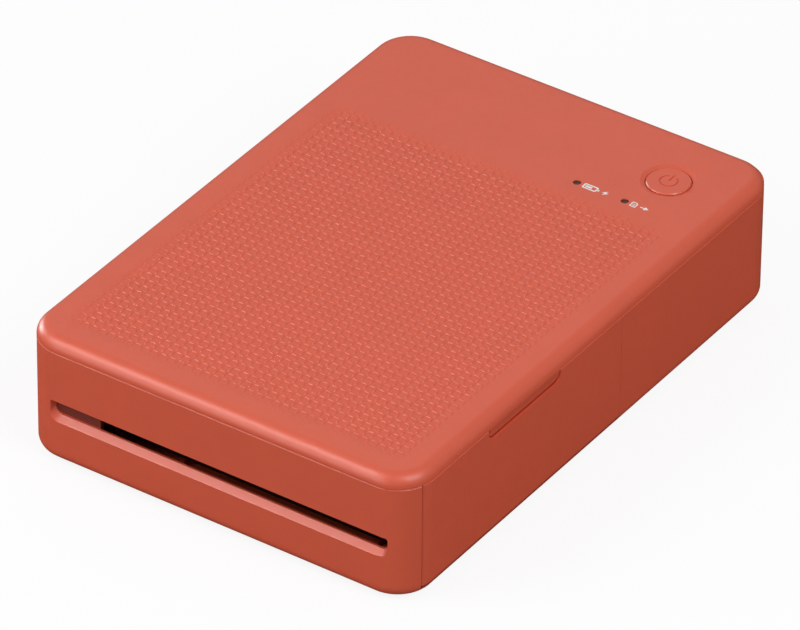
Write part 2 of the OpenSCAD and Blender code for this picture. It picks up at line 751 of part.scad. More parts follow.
// Flush side door that follows the casing's outline, with its barrel below
module cassette_door() color(casing_red) {
  y0 = door_y0 + door_front_seam;
  y1 = door_y1 - door_rear_seam;
  difference() {
    union() {
      difference() {
        intersection() {
          slab(foot_h, seam_z, edge_r, rim_r);
          box([0, y0, door_axis_z - door_barrel_r], [big, y1, seam_z]);
          union() {
            box([0, y0, door_axis_z], [big, y1, seam_z]);
            rod_y(y0, y1 - y0, 2 * door_sweep_r, [door_axis_x, door_axis_z]);
          }
        }
        prism(wall, foot_h, seam_z + 1);
      }
      intersection() {
        rod_y(y0, y1 - y0, 2 * door_barrel_r, [door_axis_x, door_axis_z]);
        prism(0.05, foot_h, seam_z);
      }
    }
    for (y = door_knuckle_y) {
      rod_y(y - knuckle_w / 2 - knuckle_gap, knuckle_w + 2 * knuckle_gap, 2 * door_knuckle_r + 0.3,
            [door_axis_x, door_axis_z]);
      box([door_axis_x - door_barrel_r - 0.1, y - knuckle_w / 2 - knuckle_gap, foot_h],
          [door_axis_x, y + knuckle_w / 2 + knuckle_gap, door_axis_z + door_barrel_r]);
      rod_y(y - door_pin_l / 2 - 0.5, door_pin_l + 1, door_pin_d + 2 * run_fit, [door_axis_x, door_axis_z]);
    }
    // finger notch, with a rebate that leaves a thin outer edge
    notch_prism(half_w - corner_r, 0);
    intersection() {
      notch_prism(half_w - corner_r, -notch_rebate);
      prism(notch_land, foot_h, top_z);
    }
    // small step along the notch's outer edge
    notch_prism(half_w - notch_step, -notch_step);
    // soft front edge
    translate([outline_x(y0), y0, 0]) rotate(45) cube([2 * door_edge, door_edge, 2 * top_z], center = true);
  }
}

// How far the casing's outline reaches to the right at a place along its front right corner
function outline_x(y) = half_w - corner_r + sqrt(pow(corner_r, 2) - pow(half_d - corner_r + y, 2));

// Prism through the door's upper edge with round lower corners, moved in by a distance
module notch_prism(x, inset) {
  r = notch_r - inset;
  y0 = notch_y0 + inset;
  y1 = notch_y1 - inset;
  z0 = seam_z - notch_h + inset;
  translate([x, 0, 0]) rotate([90, 0, 90]) linear_extrude(corner_r + 2) {
    translate([y0 + r, z0]) square([y1 - y0 - 2 * r, notch_h + 2]);
    translate([y0, z0 + r]) square([y1 - y0, notch_h + 2 - r]);
    for (y = [y0 + r, y1 - r]) translate([y, z0 + r]) circle(r);
  }
}

// Cap with a flange below the panel and a stem down to the switch
module power_button() color(casing_red) translate([button_x, button_y, 0]) {
  translate([0, 0, flange_z - flange_t])
    cylinder(h = cap_top - cap_edge - flange_z + flange_t, d = button_d);
  translate([0, 0, cap_top - cap_edge - eps])
    cylinder(h = cap_edge + eps, d1 = button_d, d2 = button_d - 2 * cap_edge);
  translate([0, 0, flange_z - flange_t]) cylinder(h = flange_t, d = flange_d);
  translate([0, 0, stem_z]) cylinder(h = flange_z - stem_z - eps, d = stem_d);
}

module button_retainer() color(dark_plastic)
translate([button_x, button_y, ceiling_z - cup_h]) difference() {
  cylinder(h = cup_h, d = flange_d + 2 * gap + 2 * cup_t);
  translate([0, 0, cup_t]) cylinder(h = cup_h, d = flange_d + 2 * gap);
  translate([0, 0, -1]) cylinder(h = 5, d = stem_d + 2 * gap);
}

module button_spring() color(steel)
  translate([button_x, button_y, ceiling_z - cup_h + cup_t])
    coil(3.2, 0.35, flange_z - flange_t - ceiling_z + cup_h - cup_t, 3);

module switch_plunger() color(dark_plastic)
  translate([button_x, button_y, switch_z + 0.3])
    cylinder(h = stem_z - 0.05 - switch_z - 0.3, d = plunger_d);

module power_switch() color(steel) translate([button_x, button_y, switch_z]) difference() {
  translate([-3, -3, 0]) cube([6, 6, switch_h]);
  translate([0, 0, -1]) cylinder(h = 5, d = plunger_d + 2 * run_fit);
}

module indicator_leds() color(ivory_plastic)
  for (x = [pipe_x0, pipe_x1]) translate([x - 0.8, pipe_y - 0.8, switch_z]) cube([1.6, 1.6, led_h]);

module button_board() color(board_green) difference() {
  box([button_board_x[0], button_board_y[0], button_board_z],
      [button_board_x[1], button_board_y[1], button_board_z + board_t]);
  for (p = button_board_holes()) translate([p.x, p.y, button_board_z - 1]) cylinder(h = 5, d = 1.8);
  translate([button_x, button_y, button_board_z - 1]) cylinder(h = 5, d = plunger_d + 2 * gap);
}

// Pillars between the two boards, with a stub through each upper hole
module board_pillars() color(brass_tone)
  for (p = button_board_holes()) {
    translate([p.x, p.y, main_board_z + board_t])
      cylinder(h = button_board_z - main_board_z - board_t, d = pillar_d);
    translate([p.x, p.y, button_board_z - eps]) cylinder(h = board_t + 0.6, d = 1.8);
  }

function corners(xs, ys, in) =
  [for (x = [xs[0] + in, xs[1] - in], y = [ys[0] + in, ys[1] - in]) [x, y]];
function button_board_holes() = corners(button_board_x, button_board_y, pillar_inset);
function main_board_holes() =
  let (y = [main_board_y[0] + pillar_inset, main_board_y[1] - pillar_inset], x = main_board_x)
  [[x[0] + pillar_inset, y[0]], [x[0] + pillar_inset, y[1]],
   [x[1] - hole_in[0], y[0]], [x[1] - hole_in[1], y[1]]];

module light_pipe(x) {
  translate([x, pipe_y, switch_z + led_h + 0.3])
    cylinder(h = top_z - 0.3 - switch_z - led_h - 0.3, d = pipe_d);
  translate([x, pipe_y, ceiling_z - 0.8]) cylinder(h = 0.8, d = pipe_d + 1.6);
}

// The two light pipes in the cover, left and right
module light_pipes() color(dark_plastic)
  for (x = [pipe_x0, pipe_x1]) light_pipe(x);

module main_board() color(board_green) difference() {
  box([main_board_x[0], main_board_y[0], main_board_z],
      [main_board_x[1], main_board_y[1], main_board_z + board_t]);
  for (p = main_board_holes()) translate([p.x, p.y, main_board_z - 1]) cylinder(h = 5, d = 1.8);
  // corner cut for the casing's boss
  translate([screw_x, screw_y, main_board_z - 1]) cylinder(h = 5, d = boss_d + 2);
}

module board_chips() color(dark_plastic) {
  chip(0.50, 0.27, [9, 9, 1.4]);
  chip(0.73, 0.40, [7, 5, 1.2]);
  chip(0.54, 0.67, [5, 6, 1.1]);
  chip(0.71, 0.70, [3, 3, 1.8]);
}

// Chip of a size, its corner at a share of the main board's width and depth
module chip(u, v, size) {
  w = main_board_x[1] - main_board_x[0];
  d = main_board_y[1] - main_board_y[0];
  translate([main_board_x[0] + u * w, main_board_y[0] + v * d, main_board_z + board_t]) cube(size);
}

module board_screws() color(steel)
  for (p = main_board_holes()) translate([p.x, p.y, 0]) difference() {
    union() {
      translate([0, 0, main_board_z + board_t]) cylinder(h = 0.9, d = 3);
      translate([0, 0, main_board_z - 2.5]) cylinder(h = board_t + 2.6, d = 1.6);
    }
    cross_recess(main_board_z + board_t + 0.5, 1);
  }

// Receptacle: a stadium tube with a tongue inside, its mouth just within the rear wall
module usb_port() color(steel) {
  y0 = main_board_y[1] - 2;
  difference() {
    usb_prism(y0, half_d - 0.4);
    usb_prism(y0 + 1, half_d, -0.35);
  }
  translate([usb_x - 3.2, y0 + 0.5, main_board_z + board_t + usb_h / 2 - 0.3])
    cube([6.4, half_d - 1.6 - y0, 0.6]);
}

module battery_pack() color([0.16, 0.17, 0.2]) {
  r = 3;
  x0 = battery_x[0];
  y0 = battery_y[0];
  w = battery_x[1] - x0;
  d = battery_y[1] - y0;
  translate([x0, y0, floor_z]) {
    translate([r, 0, 0]) cube([w - 2 * r, d, battery_h]);
    translate([0, r, 0]) cube([w, d - 2 * r, battery_h]);
    for (x = [r, w - r], y = [r, d - r]) translate([x, y, 0]) cylinder(h = battery_h, r = r);
  }
}

// Left side plate: carries the bushes, the studs and the take-up gear's bearing
module chassis_left() color(steel) side_plate(plate_x0 - plate_t, plate_t) difference() {
  translate([plate_y0, plate_z0]) square([plate_y1 - plate_y0, tray_z - plate_z0]);
  for (p = bush_places()) translate(p) circle(d = bush_d);
  translate([feed_y, pinch_z]) circle(d = pinch_shaft_d());
  translate(idler_at) circle(d = stud_d());
  translate(takeup_at) circle(r = hub_r + 1);
  for (p = spacer_places()) translate(p) circle(d = 2);
}

function bush_places() = [[platen_y, platen_z], feed_at, pickup_at];
function pinch_shaft_d() = 2;
function stud_d() = 2;
function spacer_places() =
  [[gear_plate_y1 - 4, plate_z0 + 3], [gear_plate_y1 - 6, tray_z - 3],
   [gear_plate_y0 + 3, plate_z0 + 3], [gear_plate_y0 + 3, tray_z - 3]];

// Right side plate: an angle above and behind the cassette's way in
module chassis_right() color(steel) side_plate(plate_x1, plate_t) difference() {
  union() {
    translate([plate_y0, window_z]) square([plate_y1 - plate_y0, tray_z - window_z]);
    translate([door_y1 + 0.5, right_plate_z0])
      square([plate_y1 - door_y1 - 0.5, tray_z - right_plate_z0]);
  }
  for (p = bush_places()) translate(p) circle(d = bush_d);
  translate([feed_y, pinch_z]) circle(d = pinch_shaft_d());
}

// Outer plate of the gear case, held on four spacers
module gear_plate() color(steel) {
  side_plate(gear_plate_x, plate_t) difference() {
    translate([gear_plate_y0, plate_z0]) square([gear_plate_y1 - gear_plate_y0, tray_z - plate_z0]);
    translate(feed_pinion_at) circle(d = 6);
    translate(ribbon_pinion_at) circle(d = 6);
    translate(idler_at) circle(d = stud_d());
    translate(takeup_at) circle(r = hub_r + run_fit);
    translate(feed_at) circle(d = journal_d + 2 * run_fit);
    translate(pickup_at) circle(d = journal_d + 2 * run_fit);
  }
  for (p = spacer_places()) {
    rod_x(gear_plate_x + plate_t - eps, plate_x0 - 2 * plate_t - gear_plate_x + eps, 3, p);
    rod_x(gear_plate_x + plate_t, plate_x0 - plate_t - gear_plate_x, 2, p);
  }
}

// Tray under the top cover: floor on the side plates, with a window for the pick-up roller
module paper_tray() color(dark_plastic) difference() {
  union() {
    box([plate_x0 - plate_t, tray_y0, tray_z], [plate_x1 + plate_t, tray_y0 + tray_l, tray_z + tray_t]);
    for (x = [paper_x0 - tray_side - tray_wall, paper_x1 + tray_side])
      box([x, tray_y0, tray_z], [x + tray_wall, tray_y0 + tray_l, tray_z + tray_h]);
    box([paper_x0 - tray_side - tray_wall, tray_y0, tray_z],
        [paper_x1 + tray_side + tray_wall, tray_y0 + tray_wall, tray_z + tray_h]);
  }
  box([paper_x - pickup_w / 2 - 1, pickup_y - pickup_d / 2 - 0.6, tray_z - 1],
      [paper_x + pickup_w / 2 + 1, pickup_y + pickup_d / 2 + 0.6, tray_z + tray_t + 1]);
}

// Flap that presses the sheets down, hung from two lugs of the top cover
module pressure_plate() color(steel)
  translate([0, press_y, press_axis_z]) rotate([-plate_angle, 0, 0]) difference() {
    union() {
      box([press_x[0] + 1.2, 0, -press_t], [press_x[1] - 1.2, press_l, 0]);
      for (x = [press_x[0] + 1.2, press_x[1] - 4.2]) rod_x(x, 3, press_pin_d + 0.8, [0, 0]);
      rod_x(press_x[0] - 0.8, press_x[1] - press_x[0] + 1.6, press_pin_d, [0, 0]);
    }
    // window that keeps the flap off the pick-up roller
    box([paper_x - pickup_w / 2 - 2, pickup_y - press_y - pickup_d / 2 - 2, -5],
        [paper_x + pickup_w / 2 + 2, press_l + 1, 5]);
  }

// Bent leaf between the top cover and the pressure plate
module plate_spring() color(steel) {
  w = 6;
  translate([paper_x - w / 2, 0, 0]) rotate([90, 0, 90]) linear_extrude(w)
    polygon([[press_y + 8, ceiling_z], [press_y + 20, ceiling_z], [press_y + 20, ceiling_z - 0.25],
             [press_y + 10, ceiling_z - 0.25], [press_y + 24, ceiling_z - 2.5],
             [press_y + 24, ceiling_z - 2.75], [press_y + 8, ceiling_z - 0.3]]);
}

// Roller shaft between the two side plates, with its journals in the bushes
module roller_shaft(at, left_x, core_d) {
  rod_x(left_x, plate_x1 + plate_t + 0.6 - left_x, journal_d, at);
  if (core_d > journal_d) rod_x(plate_x0 + 1, plate_x1 - plate_x0 - 2, core_d, at);
}

module sleeve(x, l, outer_d, inner_d, at) {
  difference() {
    rod_x(x, l, outer_d, at);
    rod_x(x - 1, l + 2, inner_d, at);
  }
}

module pickup_roller() color(rubber_black)
  sleeve(paper_x - pickup_w / 2, pickup_w, pickup_d, journal_d, pickup_at);
module pickup_shaft() color(steel) roller_shaft(pickup_at, gear_plate_x, 0);
module pickup_gear() color(gear_white) gear(pickup_teeth, pickup_at, pickup_phase, journal_d);

module feed_roller() color(steel) roller_shaft(feed_at, gear_plate_x, feed_d);
module feed_gear() color(gear_white) gear(wheel_teeth, feed_at, feed_phase, journal_d);
module idler_gear() color(gear_white) gear(idler_teeth, idler_at, idler_phase, stud_d() + 2 * run_fit);
module idler_stud() color(steel)
  rod_x(gear_plate_x, plate_x0 - gear_plate_x, stud_d(), idler_at);

module pinch_roller() color(rubber_black)
  sleeve(paper_x0 + 2, paper_w - 4, pinch_d, pinch_shaft_d() + 2 * run_fit, [feed_y, pinch_z]);
module pinch_shaft() color(steel)
  rod_x(plate_x0 - plate_t, plate_x1 - plate_x0 + 2 * plate_t, pinch_shaft_d(), [feed_y, pinch_z]);

module platen_roller() color(rubber_black)
  sleeve(paper_x0 - 0.5, paper_w + 1, platen_d, journal_d, [platen_y, platen_z]);
module platen_shaft() color(steel) roller_shaft([platen_y, platen_z], plate_x0 - plate_t - 0.6, 0);

// Flanged bushes in both side plates
module shaft_bushes() color(brass_tone)
  for (p = bush_places(), side = [0, 1]) difference() {
    x = side == 0 ? plate_x0 - plate_t : plate_x1;
    union() {
      rod_x(side == 0 ? x : x - eps, plate_t + eps, bush_d, p);
      rod_x(side == 0 ? plate_x0 : plate_x1 - 0.5, 0.5, bush_flange_d, p);
    }
    rod_x(x - 2, plate_t + 4, journal_d + 2 * run_fit, p);
  }

// Guides that turn the sheet
module half_tube(r_out, r_in) {
  side_plate(plate_x0, plate_x1 - plate_x0) translate(turn_at) difference() {
    circle(r_out);
    circle(r_in);
    translate([-2 * r_out, -2 * r_out]) square([2 * r_out, 4 * r_out]);
  }
}

module outer_guide() color(dark_plastic) half_tube(turn_r + 1.6, turn_r + 0.7);
module inner_guide() color(dark_plastic) half_tube(turn_r - 0.7, turn_r - 1.6);

// Motor on the outer side of the gear plate, its shaft through to the pinion
module motor(at) {
  rod_x(gear_plate_x - motor_l, motor_l, motor_d, at);
  rod_x(gear_plate_x - eps, gear_x + gear_w - gear_plate_x, 1.5, at);
  rod_x(gear_plate_x - eps, 0.8, 5.6, at);
}

module feed_motor() color(steel) motor(feed_pinion_at);
module ribbon_motor() color(steel) motor(ribbon_pinion_at);
module feed_pinion() color(brass_tone)
  gear(pinion_teeth, feed_pinion_at, feed_pinion_phase, 1.5 + 2 * run_fit);
module ribbon_pinion() color(brass_tone)
  gear(pinion_teeth, ribbon_pinion_at, ribbon_pinion_phase, 1.5 + 2 * run_fit);

// Line head: ceramic plate with a glazed bead that touches the film
module print_head() color(ivory_plastic) {
  z = head_top - bead_h - head_t;
  box([head_x0, platen_y - 5, z], [head_x0 + head_l, platen_y + 5, z + head_t]);
  intersection() {
    rod_x(head_x0 + 1, head_l - 2, 2.4, [platen_y, head_top - 1.2]);
    box([head_x0, platen_y - 3, z + head_t - eps], [head_x0 + head_l, platen_y + 3, head_top + 1]);
  }
}

module heat_sink() color([0.8, 0.81, 0.83]) {
  z = arm_z + arm_t;
  difference() {
    box([head_x0, platen_y - sink_w / 2, z], [head_x0 + head_l, platen_y + sink_w / 2, z + sink_t]);
    for (y = [-6.6, 5.4]) box([head_x0 - 1, platen_y + y, z - 1],
                              [head_x0 + head_l + 1, platen_y + y + 1.2, z + sink_t - 1]);
  }
}

// Bent steel arm under the heat sink, with two ears on the pivot
module head_arm() color(steel) difference() {
  union() {
    box([head_x0 + 2, platen_y - sink_w / 2, arm_z],
        [head_x0 + head_l - 2, pivot_y - 3.4, arm_z + arm_t]);
    for (x = lug_x, s = [-1, 1]) {
      ear_x = x + s * (lug_w / 2 + gap + ear_w / 2);
      box([ear_x - ear_w / 2, pivot_y - 5, pivot_z - 1], [ear_x + ear_w / 2, pivot_y, arm_z + arm_t]);
      rod_x(ear_x - ear_w / 2, ear_w, 5.4, [pivot_y, pivot_z]);
    }
  }
  rod_x(head_x0, head_l, pivot_d + 2 * run_fit, [pivot_y, pivot_z]);
}

module head_pivot() color(steel)
  rod_x(lug_x[0] - 5, lug_x[1] - lug_x[0] + 10, pivot_d, [pivot_y, pivot_z]);

module head_springs() color(steel)
  for (x = [head_x0 + 15, head_x0 + head_l - 15])
    translate([x, head_spring_y, floor_z]) coil(2, 0.5, arm_z - floor_z, 5);

// Flat cable from below the head along the floor to the main board
module head_cable() color(ivory_plastic) {
  t = 0.25;
  y0 = pivot_y + 5;
  y1 = main_board_y[0] + 1;
  side_plate(cable_x, cable_w) polygon([
    [y0, floor_z], [y1 + t, floor_z], [y1 + t, main_board_z], [y1, main_board_z],
    [y1, floor_z + t], [y0 + t, floor_z + t], [y0 + t, floor_z + 2.4], [y0, floor_z + 2.4]]);
}

// Take-up drive: gear, hub through the side plate and two dogs for the spool
module takeup_gear() color(gear_white) {
  gear(wheel_teeth, takeup_at, takeup_phase, 0.5);
  rod_x(gear_plate_x, case_x0 - 0.3 - gear_plate_x, 2 * hub_r, takeup_at);
  for (a = [0, 180]) translate([0, takeup_at.x, takeup_at.y]) rotate([a, 0, 0])
    box([case_x0 - 0.4, 0.3, -dog_w / 2], [spool_x0 + dog_l, 1.3, dog_w / 2]);
}

// Two C-shaped lobes joined by a bridge at each end
module cassette_case() color([0.24, 0.25, 0.27]) {
  difference() {
    union() {
      for (p = [supply_at, takeup_at]) sleeve(case_x0, cassette_l, 2 * lobe_r, 2 * (lobe_r - case_t), p);
      for (x = [case_x0, case_x1 - bridge_w])
        box([x, supply_at.x + lobe_r - 1, bridge_z],
            [x + bridge_w, takeup_at.x - lobe_r + 1, lobe_z + lobe_r]);
      for (p = [supply_at, takeup_at]) {
        sleeve(case_x1 - case_t, case_t, 2 * lobe_r - 0.2, 3, p);
        sleeve(case_x0, case_t, 2 * lobe_r - 0.2, 4.4, p);
      }
    }
    // slots through which the film leaves the lobes, facing each other
    for (s = [[supply_at, 1], [takeup_at, -1]])
      translate([0, s[0].x + (s[1] > 0 ? 0.5 : -lobe_r - 1.5), lobe_z + lobe_r - 2.2])
        translate([case_x0 + bridge_w, 0, 0]) cube([cassette_l - 2 * bridge_w, lobe_r + 1, 5]);
  }
}

// Spool core with a round boss in the case's right wall and slots for the drive's dogs on the left
module spool(at) {
  difference() {
    union() {
      rod_x(spool_x0 + case_t, spool_x1 - spool_x0 - case_t, 2 * spool_r, at);
      rod_x(spool_x1 - eps, case_t + gap, 3 - 2 * run_fit, at);
      rod_x(spool_x0, case_t + 1, 4.4 - 2 * run_fit, at);
    }
    translate([0, at.x, at.y]) for (a = [0, 180]) rotate([a, 0, 0])
      box([spool_x0 - 1, 0.1, -dog_w / 2 - 0.15], [spool_x0 + dog_l + 0.4, 1.5, dog_w / 2 + 0.15]);
  }
}

module supply_spool() color(ivory_plastic) spool(supply_at);
module takeup_spool() color(ivory_plastic) spool(takeup_at);

module supply_roll() color([0.22, 0.12, 0.2])
  sleeve(paper_x - film_w / 2, film_w, 2 * supply_roll_r, 2 * spool_r, supply_at);
module takeup_roll() color([0.22, 0.12, 0.2])
  sleeve(paper_x - film_w / 2, film_w, 2 * takeup_roll_r, 2 * spool_r, takeup_at);

// Stretch of film above the head, between the lobes
module ribbon_film() color([0.22, 0.12, 0.2]) {
  low = [[supply_at.x + 0.8, lobe_z + supply_roll_r + 0.1], [supply_at.x + lobe_r + 0.6, film_z],
         [takeup_at.x - lobe_r - 0.6, film_z], [takeup_at.x - 0.8, lobe_z + takeup_roll_r + 0.1]];
  translate([paper_x - film_w / 2, 0, 0]) rotate([90, 0, 90]) linear_extrude(film_w)
    polygon(concat(low, [for (k = [3:-1:0]) low[k] + [0, film_t]]));
}

body_shell();
bottom_cover();
rubber_feet();
casing_screws();
top_cover();
lid_hinge_pins();
cassette_door();
door_hinge_pins();
power_button();
button_retainer();
button_spring();
switch_plunger();
power_switch();
indicator_leds();
button_board();
board_pillars();
light_pipes();
main_board();
board_chips();
board_screws();
usb_port();
battery_pack();
chassis_left();
chassis_right();
gear_plate();
paper_tray();
pressure_plate();
plate_spring();
pickup_roller();
pickup_shaft();
pickup_gear();
outer_guide();
slot_end();
inner_guide();
feed_roller();
feed_gear();
idler_gear();
idler_stud();
pinch_roller();
pinch_shaft();
feed_motor();
feed_pinion();
platen_roller();
platen_shaft();
shaft_bushes();
print_head();
heat_sink();
head_arm();
head_pivot();
head_springs();
head_cable();
takeup_gear();
ribbon_motor();
ribbon_pinion();
cassette_case();
supply_spool();
takeup_spool();
supply_roll();
takeup_roll();
ribbon_film();
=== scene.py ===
"""Compact photo printer with a hinged top cover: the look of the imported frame.

Lengths are in millimetres, unless a comment says metres, and MM turns them into metres.
"""
import json
import math

import bpy
import numpy as np
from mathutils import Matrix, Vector
from mathutils.geometry import delaunay_2d_cdt

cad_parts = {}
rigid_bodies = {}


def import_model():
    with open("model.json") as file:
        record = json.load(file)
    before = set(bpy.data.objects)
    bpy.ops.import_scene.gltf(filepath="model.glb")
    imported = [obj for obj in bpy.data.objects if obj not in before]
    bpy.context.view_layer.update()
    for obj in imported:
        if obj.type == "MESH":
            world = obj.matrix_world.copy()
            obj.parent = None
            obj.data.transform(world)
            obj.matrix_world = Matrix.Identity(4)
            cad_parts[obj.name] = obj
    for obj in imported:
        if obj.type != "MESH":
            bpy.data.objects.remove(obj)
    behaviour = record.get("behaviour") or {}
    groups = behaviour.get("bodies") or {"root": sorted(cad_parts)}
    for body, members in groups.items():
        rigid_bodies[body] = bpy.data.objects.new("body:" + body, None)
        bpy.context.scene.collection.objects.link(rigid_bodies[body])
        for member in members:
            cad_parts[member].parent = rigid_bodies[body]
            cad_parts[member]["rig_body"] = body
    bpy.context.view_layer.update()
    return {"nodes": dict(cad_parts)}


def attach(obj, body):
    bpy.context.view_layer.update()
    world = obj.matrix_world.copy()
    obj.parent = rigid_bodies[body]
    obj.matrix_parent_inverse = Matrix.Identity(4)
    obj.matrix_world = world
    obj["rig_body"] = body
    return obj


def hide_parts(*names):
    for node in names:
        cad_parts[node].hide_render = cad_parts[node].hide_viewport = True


for left_over in list(bpy.data.objects):
    bpy.data.objects.remove(left_over)

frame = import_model()
nodes = frame["nodes"]
MM = 0.001

# ---------------------------------------------------------------- camera

# Fitted to the photographed outline: place, turn in degrees, focal length and sensor width
CAMERA_AT = (902.202, -1334.290, 1158.666)
CAMERA_TURN = (54.6091, -0.4580, 34.4231)
LENS, SENSOR = 403.374, 36.0
CLIP_FROM, CLIP_TO = 0.1, 20.0      # metres


def place_camera():
    data = bpy.data.cameras.new("camera")
    data.lens, data.sensor_width, data.sensor_fit = LENS, SENSOR, "HORIZONTAL"
    data.clip_start, data.clip_end = CLIP_FROM, CLIP_TO
    camera = bpy.data.objects.new("camera", data)
    camera.location = Vector(CAMERA_AT) * MM
    camera.rotation_euler = [math.radians(a) for a in CAMERA_TURN]
    bpy.context.scene.collection.objects.link(camera)
    bpy.context.scene.camera = camera


# ---------------------------------------------------------------- materials


class Look:
    """One procedural material around a Principled shader, built up by its calls."""

    def __init__(self, name, **values):
        self.mat = bpy.data.materials.new(name)
        self.mat.use_nodes = True
        self.tree = self.mat.node_tree
        self.bsdf = next(n for n in self.tree.nodes if n.type == "BSDF_PRINCIPLED")
        self.normal = None
        self.place = self.node("ShaderNodeTexCoord").outputs["Object"]
        for key, value in values.items():
            self.bsdf.inputs[key.replace("_", " ")].default_value = value

    def node(self, kind, **inputs):
        n = self.tree.nodes.new(kind)
        for key, value in inputs.items():
            n.inputs[key.replace("_", " ")].default_value = value
        return n

    def join(self, out, into):
        self.tree.links.new(out, into)

    def stretched(self, scale):
        """The place, with each axis scaled, in cycles per metre."""
        n = self.node("ShaderNodeMapping")
        n.inputs["Scale"].default_value = scale
        self.join(self.place, n.inputs["Vector"])
        return n.outputs["Vector"]

    def noise(self, size, detail=2.0, rough=0.5, place=None):
        """Noise with features of about that size in mm."""
        n = self.node("ShaderNodeTexNoise", Scale=1 / (size * MM), Detail=detail, Roughness=rough)
        self.join(self.place if place is None else place, n.inputs["Vector"])
        return n.outputs["Fac"]

    def spread(self, value, low, high, start=0.3, end=0.7):
        n = self.node("ShaderNodeMapRange", From_Min=start, From_Max=end, To_Min=low, To_Max=high)
        self.join(value, n.inputs["Value"])
        return n.outputs["Result"]

    def two_tone(self, value, dark, light, start=0.3, end=0.7):
        ramp = self.node("ShaderNodeValToRGB")
        first, last = ramp.color_ramp.elements
        first.position, first.color = start, (*dark, 1)
        last.position, last.color = end, (*light, 1)
        self.join(value, ramp.inputs["Fac"])
        return ramp

    def colour(self, out):
        self.join(out, self.bsdf.inputs["Base Color"])
        return self

    def mottle(self, size, dark, light, detail=3.0):
        return self.colour(self.two_tone(self.noise(size, detail), dark, light).outputs["Color"])

    def shine(self, size, low, high, detail=2.0, place=None):
        value = self.spread(self.noise(size, detail, place=place), low, high)
        self.join(value, self.bsdf.inputs["Roughness"])
        return self

    def bump(self, height, depth, strength=1.0):
        """Adds a bump of that depth in mm to whatever bump is there."""
        n = self.node("ShaderNodeBump", Strength=strength, Distance=depth * MM)
        self.join(height, n.inputs["Height"])
        if self.normal is not None:
            self.join(self.normal, n.inputs["Normal"])
        self.normal = n.outputs["Normal"]
        self.join(self.normal, self.bsdf.inputs["Normal"])
        return self


def near(colour, by):
    """A slightly darker and a slightly lighter version of a colour."""
    return [c * (1 - by) for c in colour], [min(1, c * (1 + by)) for c in colour]


CASING = (0.725, 0.102, 0.044)


def casing_look(name):
    """Terracotta moulded plastic with a fine matt grain."""
    look = Look(name, Specular_IOR_Level=0.85, Roughness=0.41)
    look.mottle(9.0, *near(CASING, 0.018))
    look.shine(1.6, 0.37, 0.45)
    look.bump(look.noise(0.42, 3.0, 0.6), 0.012)
    return look.bump(look.noise(0.16, 1.0), 0.004)


def plain_plastic(name, colour, rough, grain, depth):
    """Moulded plastic with a grain of that size and depth in mm."""
    look = Look(name, Roughness=rough)
    look.mottle(6.0, *near(colour, 0.08))
    look.shine(1.2, rough - 0.06, rough + 0.07)
    return look.bump(look.noise(grain, 2.0), depth)


def metal(name, colour, rough, stretch=(700, 9000, 9000), depth=0.006):
    """Drawn or rolled metal: fine lines along x, and cloudy shine."""
    look = Look(name, Metallic=1.0, Roughness=rough)
    look.mottle(7.0, *near(colour, 0.07))
    lines = look.node("ShaderNodeTexNoise", Scale=1.0, Detail=2.0)
    look.join(look.stretched(stretch), lines.inputs["Vector"])
    value = look.spread(lines.outputs["Fac"], rough - 0.09, rough + 0.10)
    look.join(value, look.bsdf.inputs["Roughness"])
    return look.bump(lines.outputs["Fac"], depth)


def rubber_look(name):
    """Black rubber with a coarse grain."""
    look = Look(name, Roughness=0.75, Specular_IOR_Level=0.35)
    look.mottle(3.0, (0.016, 0.016, 0.017), (0.034, 0.033, 0.034))
    look.shine(0.9, 0.68, 0.84)
    return look.bump(look.noise(0.22, 4.0, 0.7), 0.03)


def board_look(name):
    """Green solder mask over copper tracks, with the weave of the glass under it."""
    look = Look(name, Roughness=0.35, Coat_Weight=0.35, Coat_Roughness=0.18)
    tracks = look.node("ShaderNodeTexBrick", Scale=1.0, Mortar_Size=0.16, Mortar_Smooth=0.2,
                       Bias=-0.2, Brick_Width=1.9, Row_Height=0.62)
    look.join(look.stretched((330, 330, 330)), tracks.inputs["Vector"])
    tracks.inputs["Color1"].default_value = (0.010, 0.085, 0.032, 1)
    tracks.inputs["Color2"].default_value = (0.013, 0.105, 0.040, 1)
    tracks.inputs["Mortar"].default_value = (0.022, 0.160, 0.062, 1)
    look.colour(tracks.outputs["Color"])
    look.shine(1.0, 0.28, 0.42)
    look.bump(tracks.outputs["Fac"], 0.03)
    return look.bump(look.noise(0.35, 1.0), 0.005)


PANEL_SET, PANEL_SHIFT = 80.0, 0.80     # length of a set of four panels, and its shift in sets


